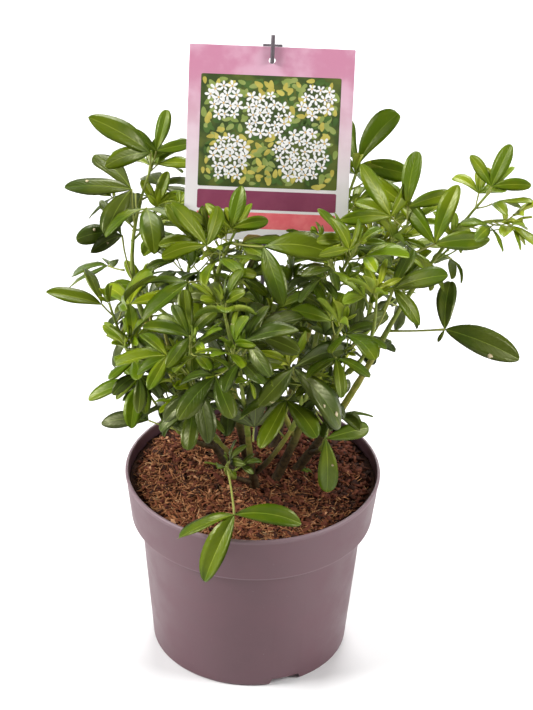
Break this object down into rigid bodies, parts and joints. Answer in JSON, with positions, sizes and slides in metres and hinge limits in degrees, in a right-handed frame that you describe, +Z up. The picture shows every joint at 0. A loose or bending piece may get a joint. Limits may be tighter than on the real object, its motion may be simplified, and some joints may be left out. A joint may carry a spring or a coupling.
{
  "type": "potted mexican orange blossom shrub",
  "caption": "Young Mexican orange blossom, an evergreen shrub with three-part leaves on upright stems, standing in its round nursery pot with a picture label on a stick.",
  "frame": {"origin": "middle of the pot's flat underside", "axes": "+Z up, -Y to the plant's front, +X to the right as seen from the front"},
  "size_m": [0.3537, 0.2988, 0.472],
  "materials": {
    "pot_plastic": "matt moulded polypropylene, grey mauve, with a lighter rounded lip",
    "compost": "loose bark and fibre compost, brown with tan fibres",
    "bark": "green young bark, tan and ridged at the foot",
    "leaf": "glossy leathery green leaves, yellow green at the tips",
    "card": "thin printed plastic card with a satin face",
    "stick_plastic": "dark grey moulded plastic"
  },
  "bodies": {
    "root": {"pot": "pot_plastic", "substrate": "compost", "label_card": "card", "label_stick": "stick_plastic", "stem_left": "bark", "stem_middle": "bark", "stem_front": "bark", "stem_inner_right": "bark", "stem_right": "bark", "stem_back": "bark", "bough_left": "bark", "bough_left_low": "bark", "bough_left_back": "bark", "bough_front_left": "bark", "bough_front_low": "bark", "bough_front_right": "bark", "bough_right_low": "bark", "bough_crown_right": "bark", "bough_right_inner": "bark", "bough_middle": "bark", "bough_back_left": "bark", "bough_back_right": "bark", "cut_stub_upper": "bark", "cut_stub_lower": "bark", "foliage_left_top": "leaf", "foliage_left": "leaf", "foliage_left_low": "leaf", "foliage_crown_left": "leaf", "foliage_front_left": "leaf", "foliage_front": "leaf", "foliage_front_low": "leaf", "foliage_front_right": "leaf", "foliage_crown_right": "leaf", "foliage_right_inner": "leaf", "foliage_right_top": "leaf", "foliage_far_right": "leaf", "foliage_right_low": "leaf", "foliage_middle": "leaf", "foliage_back_right": "leaf", "foliage_back_top": "leaf", "foliage_back": "leaf", "foliage_back_left": "leaf"}
  },
  "joints": []
}
